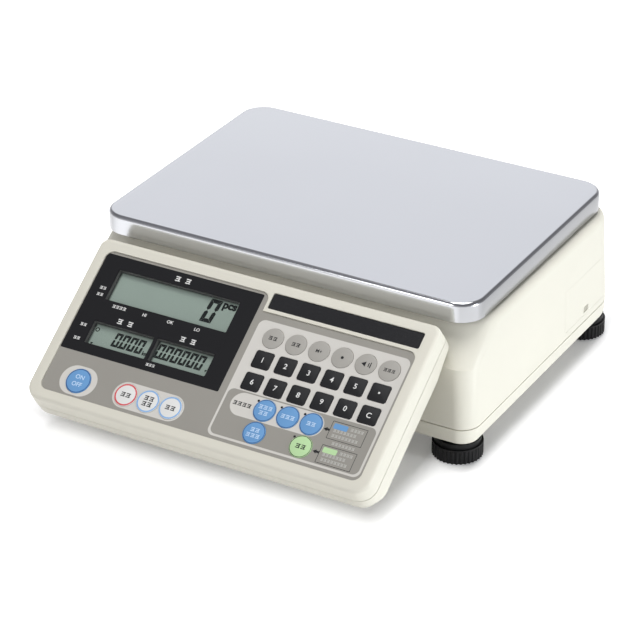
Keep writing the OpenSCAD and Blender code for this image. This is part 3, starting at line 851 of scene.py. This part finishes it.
class SCALE_OT_film(bpy.types.Operator):
    """Prints the keypad's film and its small marks."""

    bl_idname = "scale.film"
    bl_label = "Printed Film"

    def execute(self, context):
        paint(finish_for("film_printed", printed_film), "keypad_overlay")
        paint(finish_for("strip_gloss", moulded_plastic, colours().black, 0.25), "nameplate")
        paint(finish_for("window_clear", clear_sheet, (0.2, 0.22, 0.21), 0.03), "window_film")
        self.display_marks()
        self.key_marks()
        return {"FINISHED"}

    def display_marks(self):
        """White signs and limit names around the displays."""
        depth = size("print_depth")
        marks = []
        for x, y in TITLES:
            for side in (-TITLE_SPLIT, TITLE_SPLIT):
                marks += glyphs(1, (x + side, y), TITLE_HEIGHT, 0, depth)
        for place in INDICATORS:
            marks += glyphs(2, place, INDICATOR_HEIGHT, 0, depth)
        marks += glyphs(4, (-97.5, 16.2), 2.3, 0, depth)
        for x, words in LIMIT_NAMES:
            marks.append(lettering(words, LIMIT_HEIGHT, (x, LIMIT_LEVEL), 0, depth))
        marks += glyphs(3, (-54.3, -18.6), 2.0, 0, depth)
        white = print_in("print_white")
        make_piece("display_marks", on_panel(join(marks)), white, "housing", "film_grey")

    def key_marks(self):
        """Dots, arrows and framed notes beside the function keys."""
        depth = size("print_depth")
        dark = []
        for place in KEY_DOTS:
            dark.append(disc(place, 0.9, 0, depth, sides=24))
        for x, y in NOTE_ARROWS:
            dark.append(arrow((x, y), 1.8, 0, depth, QUARTER_TURN))
            dark.append(bar((x + 1.9, y), 2.2, 1.6, 0, depth, 0))
        pale = []
        for low_y, high_y in NOTES:
            dark += self.note_frame(low_y, high_y, depth)
            for row, (middle, count) in enumerate(NOTE_ROWS):
                row_y = high_y - NOTE_FIRST_ROW - NOTE_ROW_PITCH * row
                pale += glyphs(count, (middle, row_y), NOTE_HEIGHT, 0, depth)
        pale += glyphs(7, (105.5, -36.0), NOTE_HEIGHT, 0, depth)
        dark += glyphs(4, (23.6, -27.2), 2.9, 0, depth)
        blue = finish_for("print_blue", printed, colours().blue)
        green = finish_for("print_green", printed, colours().green)
        groups = (
            ("marks_dark", dark, print_in("print_dark")),
            ("marks_pale", pale, print_in("print_pale")),
            ("mark_blue", self.swatch(BLUE_SWATCH, depth), blue),
            ("mark_green", self.swatch(GREEN_SWATCH, depth), green),
        )
        for name, shapes, material in groups:
            make_piece(name, on_panel(join(shapes)), material, "housing", "film_grey")

    def swatch(self, levels, depth):
        """A block of colour in the corner of a note."""
        left, right = SWATCH_SIDES
        low_y, high_y = levels
        return [block((left, low_y, 0), (right, high_y, depth), 0.8)]

    def note_frame(self, low_y, high_y, depth):
        """Four thin bars around a note."""
        left, right = NOTE_SIDES
        width = right - left
        height = high_y - low_y
        across = [bar(((left + right) / 2, y), width, NOTE_LINE, 0, depth, 0) for y in (low_y, high_y)]
        upright = [bar((x, (low_y + high_y) / 2), NOTE_LINE, height, 0, depth, 0) for x in NOTE_SIDES]
        return across + upright


# Rows of digits as (count, left, foot, width, height, stroke, pitch)
DIGIT_ROWS = (
    (1, -36.6, 24.4, 9.2, 18.6, 3.0, 0),
    (4, -91.8, -11.8, 5.4, 11.0, 1.85, 6.35),
    (6, -57.0, -11.2, 5.5, 11.4, 1.85, 6.55),
)
# Units as (words, height, centre, weight)
UNITS = (
    ("pcs", 5.9, (-19.9, 39.2), 0.07),
    ("kg", 3.0, (-64.6, -10.8), 0.06),
    ("g", 2.4, (-15.2, -10.6), 0.06),
)
DECIMAL_POINTS = ((-86.0, -11.2), (-51.4, -10.6))
DIGIT_LEAN = 0.11
SEGMENT_GAP = 0.03


class SCALE_OT_display(bpy.types.Operator):
    """Shows the digits, points and units of the three displays."""

    bl_idname = "scale.display"
    bl_label = "Displays"

    def execute(self, context):
        paint(finish_for("lcd_ground", lcd_ground), "lcd_upper", "lcd_lower")
        base = -size("lcd_face")
        depth = size("print_depth")
        shapes = []
        for count, left, foot, width, height, stroke, pitch in DIGIT_ROWS:
            for i in range(count):
                shapes += self.zero(left + pitch * i, foot, width, height, stroke, base, depth)
        for words, height, centre, weight in UNITS:
            shapes.append(lettering(words, height, centre, base, depth, weight))
        for point in DECIMAL_POINTS:
            shapes.append(disc(point, 0.8, base, base + depth, sides=16))
        shapes.append(ring((-107.3, -2.5), 1.7, 1.0, base, depth, 32))
        shapes.append(arrow((-107.0, -13.4), 1.3, base, depth, 2 * QUARTER_TURN))
        dark = finish_for("lcd_digit", printed, ink(8, 14, 15), 0.3)
        make_piece("display_digits", on_panel(join(shapes)), dark, "housing", "lcd_glass")
        return {"FINISHED"}

    def zero(self, left, foot, width, height, stroke, base, depth):
        """A leaning seven-segment zero: two flat and four upright segments, mitred at the corners."""
        gap = SEGMENT_GAP * stroke
        w, h = width / 2, height / 2
        flat = ((gap - w, h), (w - gap, h), (w - stroke - gap, h - stroke), (stroke + gap - w, h - stroke))
        upright = (
            (w, h - gap),
            (w, stroke / 2),
            (w - stroke / 2, gap),
            (w - stroke, stroke / 2),
            (w - stroke, h - stroke - gap),
        )
        outlines = [[(x, y * up) for x, y in flat] for up in (1, -1)]
        outlines += [[(x * side, y * up) for x, y in upright] for side in (1, -1) for up in (1, -1)]
        shapes = []
        for outline in outlines:
            shape = bmesh.new()
            corners = [(left + w + x + DIGIT_LEAN * y, foot + h + y, base) for x, y in outline]
            face = shape.faces.new([shape.verts.new(corner) for corner in corners])
            grown = bmesh.ops.extrude_face_region(shape, geom=[face])
            raised = [g for g in grown["geom"] if isinstance(g, bmesh.types.BMVert)]
            bmesh.ops.translate(shape, vec=(0, 0, depth), verts=raised)
            bmesh.ops.recalc_face_normals(shape, faces=shape.faces)
            shapes.append(shape)
        return shapes


# Keys


COLUMN = 18.0
FIRST_X = 23.2
ROW = 17.3
FIRST_Y = 24.7
POWER_X = -100.1
FIRST_RING_X = -61
KEY_RADIUS = {"grey": 7.75, "blue": 8.2, "green": 8.2, "power": 9.4, "ring": 8.6}
KEY_EDGES = {"blue": (7.9, 7.5), "green": (7.9, 7.5), "power": (9.1, 8.55), "ring": (8.3, 7.2)}
EDGE_SINK = 0.05
SQUARE_KEY = (14.0, 13.2, 1.8)
ROUNDED_SHARE = 0.7
POWER_WORDS = (("ON", 3), ("OFF", -2.6))
BLUE_LEGENDS = (((3, 2.1), (2, -2.1)), ((3, 0),), ((2, 0),), ((2, 2.1), (3, -2.1)))


def key_table():
    """Every key as (node, kind, x, y) in the keypad's plane."""
    keys = [(f"key_grey_{i + 1}", "grey", i, 0) for i in range(6)]
    keys += [(f"key_{name}", "square", i, 1) for i, name in enumerate(("1", "2", "3", "4", "5", "point"))]
    keys += [(f"key_{name}", "square", i, 2) for i, name in enumerate(("6", "7", "8", "9", "0", "clear"))]
    keys += [(f"key_blue_{i}", "blue", i, 3) for i in (1, 2, 3)]
    keys += [("key_blue_4", "blue", 1, 4), ("key_green", "green", 3, 4)]
    placed = [(node, kind, FIRST_X + COLUMN * i, FIRST_Y - ROW * row) for node, kind, i, row in keys]
    last_row = FIRST_Y - 4 * ROW
    placed.append(("key_power", "power", POWER_X, last_row))
    placed += [(f"key_ring_{i + 1}", "ring", FIRST_RING_X + COLUMN * i, last_row) for i in range(3)]
    return placed


class SCALE_OT_keys(bpy.types.Operator):
    """Makes each key as an embossed cap with its legend."""

    bl_idname = "scale.keys"
    bl_label = "Keys"

    def execute(self, context):
        tones = {
            "grey": colours().grey,
            "square": colours().black,
            "blue": colours().blue,
            "power": colours().blue,
            "green": colours().green,
            "ring": ink(228, 228, 226),
        }
        for node, kind, x, y in key_table():
            material = finish_for("key_" + kind, printed, tones[kind])
            cap = on_panel(self.cap(kind, x, y))
            body = body_of(node)
            make_piece(node + "_cap", cap, material, body, slot_of(node), replaced=(node,))
            self.legend(node, kind, x, y, body)
        return {"FINISHED"}

    def cap(self, kind, x, y):
        """A low embossed cap, from the film's back to its own rise."""
        rise = size("key_rise")
        back = -size("film")
        edge = rise * ROUNDED_SHARE
        if kind == "square":
            width, height, corner = SQUARE_KEY
            low = (x - width / 2, y - height / 2, back)
            high = (x + width / 2, y + height / 2, rise)
            return block(low, high, corner, edge, 6)
        return disc((x, y), KEY_RADIUS[kind], back, rise, edge, 72)

    def legend(self, node, kind, x, y, body):
        """Prints a cap's legend, and the line near its edge where it has one."""
        top = size("key_rise")
        depth = size("print_depth")
        name = node.split("_")[-1]
        edge = []
        if kind in KEY_EDGES:
            outer, inner = KEY_EDGES[kind]
            edge.append(ring((x, y), outer, inner, top - EDGE_SINK, depth + EDGE_SINK))
        if kind == "square":
            groups = [("digit", self.digit(name, x, y, top, depth), "print_white")]
        elif kind == "power":
            words = [lettering(word, 3.3, (x, y + up), top, depth) for word, up in POWER_WORDS]
            groups = [("words", words, "print_ice"), ("edge", edge, "print_navy")]
        elif kind == "blue":
            signs = []
            for count, up in BLUE_LEGENDS[int(name) - 1]:
                signs += glyphs(count, (x, y + up), 2.9, top, depth)
            groups = [("signs", signs, "print_ice"), ("edge", edge, "print_navy")]
        elif kind == "green":
            signs = glyphs(2, (x, y), 3.2, top, depth)
            groups = [("signs", signs, "print_dark"), ("edge", edge, "print_dark")]
        elif kind == "ring":
            signs = []
            for up in (-2.2, 2.2) if name == "2" else (0,):
                signs += glyphs(2, (x, y + up), 3.3, top, depth)
            edge_tone = "print_red" if name == "1" else "print_sky"
            groups = [("edge", edge, edge_tone), ("signs", signs, "print_dark")]
        else:
            groups = [("sign", self.sign(int(name), x, y, top, depth), "print_dark")]
        for part, shapes, tone in groups:
            make_piece(f"{node}_{part}", on_panel(join(shapes)), print_in(tone), body, slot_of(node))

    def digit(self, name, x, y, top, depth):
        """The digit, point or C of a square key."""
        if name == "point":
            return [disc((x, y), 0.75, top, top + depth, sides=24)]
        words = "C" if name == "clear" else name
        return [lettering(words, 3.9, (x, y), top, depth)]

    def sign(self, number, x, y, top, depth):
        """A plain sign for each grey key: signs, a sum, a dot and a wedge with two waves."""
        if number in (1, 2):
            return glyphs(2, (x, y), 2.8, top, depth)
        if number == 3:
            return [lettering("M+", 2.6, (x, y), top, depth)]
        if number == 4:
            return [disc((x, y), 1.1, top, top + depth, sides=24)]
        if number == 5:
            wedge = arrow((x - 1.2, y), 2.2, top, depth, QUARTER_TURN)
            near_wave = bar((x + 2.2, y), 0.7, 3.0, top, depth)
            far_wave = bar((x + 3.6, y), 0.7, 4.4, top, depth)
            return [wedge, near_wave, far_wave]
        return glyphs(3, (x, y), 2.4, top, depth)


# Feet and what is inside, in metres


LENS_RADIUS = 0.0072
LENS_DEPTH = 0.0006
LENS_DROP = 0.0003
CIRCLE_RADII = (0.0034, 0.0031)
CIRCLE_DEPTH = 0.00003
BUBBLE_RADIUS = 0.0024
BUBBLE_DROP = 0.0001
BUBBLE_DRIFT = Vector((0.0004, 0.0003, 0))


class SCALE_OT_feet(bpy.types.Operator):
    """Finishes the levelling knobs and their rubber pads."""

    bl_idname = "scale.feet"
    bl_label = "Levelling Feet"

    def execute(self, context):
        for node in NODES:
            if node.startswith("foot_knob"):
                dressed_copy(node, black_plastic(), 0.0002, 35)
            elif node.startswith("foot_pad"):
                dressed_copy(node, black_rubber(), 0.0004)
        return {"FINISHED"}


class SCALE_OT_inside(bpy.types.Operator):
    """Finishes the casting, the load cell, the boards and the fasteners."""

    bl_idname = "scale.inside"
    bl_label = "Inner Works"

    def execute(self, context):
        casting = finish_for("cast_light_metal", cast_metal, ink(178, 180, 182))
        milled = finish_for("milled_light_metal", machined_metal, ink(200, 203, 208))
        oxide = finish_for("black_oxide", machined_metal, ink(52, 52, 55), 0.38)
        laminate = finish_for("board_green", circuit_laminate, ink(36, 92, 56))
        paint(casting, "base_frame", "pan_support")
        paint(milled, "load_cell")
        paint(oxide, "load_cell_base_bolts", "load_cell_top_bolts", "overload_stop", "case_screws")
        paint(laminate, "main_board", "display_board")
        paint(black_rubber(), "pan_cushions")
        paint(finish_for("cable_grey", moulded_plastic, ink(188, 188, 190)), "display_cable")
        paint(finish_for("circuit_film", printed, ink(196, 160, 116)), "membrane_circuit")
        paint(black_plastic(), "dc_inlet")
        self.level()
        return {"FINISHED"}

    def level(self):
        """The spirit level: a cup, a tinted lens with its circle and a bubble."""
        low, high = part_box("level_vial")
        centre = (low + high) / 2
        lens_top = high.z - LENS_DROP
        dressed_copy("level_vial", finish_for("level_cup", moulded_plastic, ink(222, 224, 214)), 0.0002)
        fluid = disc(centre, LENS_RADIUS, lens_top - LENS_DEPTH, lens_top, 0.0002, 48)
        tint = finish_for("level_fluid", moulded_plastic, ink(206, 226, 96), 0.12)
        make_piece("level_lens", fluid, tint, "housing", "level_clear")
        circle = ring(centre, *CIRCLE_RADII, lens_top, CIRCLE_DEPTH, 48)
        make_piece("level_circle", circle, print_in("print_dark"), "housing", "level_clear")
        bubble = disc(centre + BUBBLE_DRIFT, BUBBLE_RADIUS, lens_top, high.z - BUBBLE_DROP, 0.0001, 32)
        gleam = finish_for("level_bubble", moulded_plastic, ink(238, 246, 196), 0.08)
        make_piece("level_bubble", bubble, gleam, "housing", "level_clear")


# Studio, in metres, watts and linear tones


BACK_SCREEN = (-0.434, 0.762, 0.481)
SCREEN_SPREAD = 0.91
SCREEN_TONE = (1.46, 1.48, 1.54)
ROOM_LIGHT = (0.3, 0.3, 0.31)
ROOM_LOW = (0.75, 0.75, 0.77)
ROOM_HIGH = (0.28, 0.28, 0.30)
FLOOR_REACH = 4
FLOOR_TONE = (0.94, 0.94, 0.94)
# Floor glow away from the scale, and a dimmer glow over boxes near and under it as a painted shadow
OPEN_GLOW = (0.58, 0.58, 0.58)
PAINTED_SHADOW_GLOW = (0.12, 0.12, 0.12)
PAINTED_SHADOW_FLOOR = ((-0.165, -0.15, 0.128, -0.04), (-0.165, -0.06, 0.158, 0.2))
# Lamps as (name, place, size, power, tone)
LAMPS = (
    ("lamp_right", (1.8, -0.1, 0.2), 0.36, 19.5, (0.93, 0.97, 1)),
    ("lamp_top", (0, 0.25, 1.9), 0.9, 22, (1, 1, 1)),
    ("lamp_front", (-0.35, -1.6, 0.9), 0.6, 7.5, (1, 1, 1)),
)
LAMP_AIM = Vector((0, 0, 0.06))
SENSOR_WIDTH = 36
LENS = 154.35
FAR_CLIP = 20
CAMERA_PLACE = (0.8587, -1.5037, 0.9963)
CAMERA_AXES = ((0.8694, 0.4941, -0.0020), (-0.2360, 0.4188, 0.8769), (0.4341, -0.7619, 0.4807))


class SCALE_OT_stage(bpy.types.Operator):
    """Sets a pale floor, soft lamps and the camera."""

    bl_idname = "scale.stage"
    bl_label = "Studio"

    def execute(self, context):
        context.scene.view_settings.view_transform = "Standard"
        self.floor()
        self.world(context.scene)
        for lamp in LAMPS:
            self.lamp(*lamp)
        self.camera(context.scene)
        return {"FINISHED"}

    def floor(self):
        """A white floor that glows away from the scale, only in the picture and in reflections, and glows
        less near and under the scale as a painted shadow.
        """
        shape = bmesh.new()
        bmesh.ops.create_grid(shape, x_segments=1, y_segments=1, size=FLOOR_REACH)
        finish = Finish("floor_white", base_color=FLOOR_TONE, roughness=0.9, emission_strength=1.0)
        x, y = finish.across(finish.place())
        # Painted shadow: the glow dims over the boxes near and under the scale
        near = 0
        for box in PAINTED_SHADOW_FLOOR:
            near = field_distance(x, y, box, 0.01).mask(0.008).most(near)
        glow = finish.mix(OPEN_GLOW, PAINTED_SHADOW_GLOW, near)
        finish.set("Emission Color", finish.mix((0, 0, 0), glow, finish.seen()))
        mesh = bpy.data.meshes.new("floor")
        shape.to_mesh(mesh)
        shape.free()
        mesh.materials.append(finish.material)
        floor = bpy.data.objects.new("floor", mesh)
        bpy.context.scene.collection.objects.link(floor)

    def world(self, scene):
        """A pale room with a bright screen behind the scale, which only the picture and reflections show."""
        scene.world = bpy.data.worlds.new("studio")
        scene.world.use_nodes = True
        wiring = Wiring(scene.world.node_tree)
        direction = wiring.add("ShaderNodeTexCoord", out="Generated")
        height = wiring.add("ShaderNodeSeparateXYZ", None, {0: direction}, out="Z")
        ceiling = (abs(height) * 2).least(1)
        room = wiring.mix(ROOM_LIGHT, wiring.mix(ROOM_LOW, ROOM_HIGH, ceiling), wiring.seen())
        dot_product = {"operation": "DOT_PRODUCT"}
        values = {0: direction, 1: BACK_SCREEN}
        towards = wiring.add("ShaderNodeVectorMath", dot_product, values, out="Value")
        screen = (1 - (towards - SCREEN_SPREAD).mask(0.05)) * wiring.seen()
        background = wiring.tree.nodes["Background"]
        wiring.fill(background.inputs["Color"], wiring.mix(room, SCREEN_TONE, screen))

    def lamp(self, name, place, size, power, tone):
        """A square lamp that points at the scale."""
        data = bpy.data.lights.new(name, "AREA")
        data.color = tone
        data.size = size
        data.energy = power
        lamp = bpy.data.objects.new(name, data)
        lamp.location = place
        aim = LAMP_AIM - Vector(place)
        lamp.rotation_euler = aim.to_track_quat("-Z", "Y").to_euler()
        bpy.context.scene.collection.objects.link(lamp)

    def camera(self, scene):
        """The camera, placed by its position and its right, up and back directions."""
        data = bpy.data.cameras.new("camera")
        data.sensor_width = SENSOR_WIDTH
        data.lens = LENS
        data.clip_end = FAR_CLIP
        camera = bpy.data.objects.new("camera", data)
        turn = Matrix(CAMERA_AXES).transposed().to_4x4()
        camera.matrix_world = Matrix.Translation(CAMERA_PLACE) @ turn
        bpy.context.scene.collection.objects.link(camera)
        scene.camera = camera


class SCALE_PT_sidebar(bpy.types.Panel):
    """Lists the scale's sizes, colours and makers."""

    bl_label = "Counting Scale"
    bl_idname = "SCALE_PT_sidebar"
    bl_space_type = "VIEW_3D"
    bl_region_type = "UI"
    bl_category = "Scale"

    def draw(self, context):
        for group in (context.scene.scale_sizes, context.scene.scale_colours):
            box = self.layout.box()
            for name in group.bl_rna.properties.keys():
                if name not in ("rna_type", "name"):
                    box.prop(group, name)
        for maker in MAKERS:
            self.layout.operator(maker.bl_idname)


MAKERS = (
    SCALE_OT_stage,
    SCALE_OT_pan,
    SCALE_OT_case,
    SCALE_OT_housing,
    SCALE_OT_film,
    SCALE_OT_display,
    SCALE_OT_keys,
    SCALE_OT_feet,
    SCALE_OT_inside,
)
CLASSES = (ScaleSizes, ScaleColours, *MAKERS, SCALE_PT_sidebar)


def register():
    for cls in CLASSES:
        bpy.utils.register_class(cls)
    bpy.types.Scene.scale_sizes = bpy.props.PointerProperty(type=ScaleSizes)
    bpy.types.Scene.scale_colours = bpy.props.PointerProperty(type=ScaleColours)


def unregister():
    del bpy.types.Scene.scale_colours
    del bpy.types.Scene.scale_sizes
    for cls in reversed(CLASSES):
        bpy.utils.unregister_class(cls)


def main():
    register()
    bpy.ops.scale.stage()
    bpy.ops.scale.pan()
    bpy.ops.scale.case()
    bpy.ops.scale.housing()
    bpy.ops.scale.film()
    bpy.ops.scale.display()
    bpy.ops.scale.keys()
    bpy.ops.scale.feet()
    bpy.ops.scale.inside()


if __name__ == "__main__":
    main()
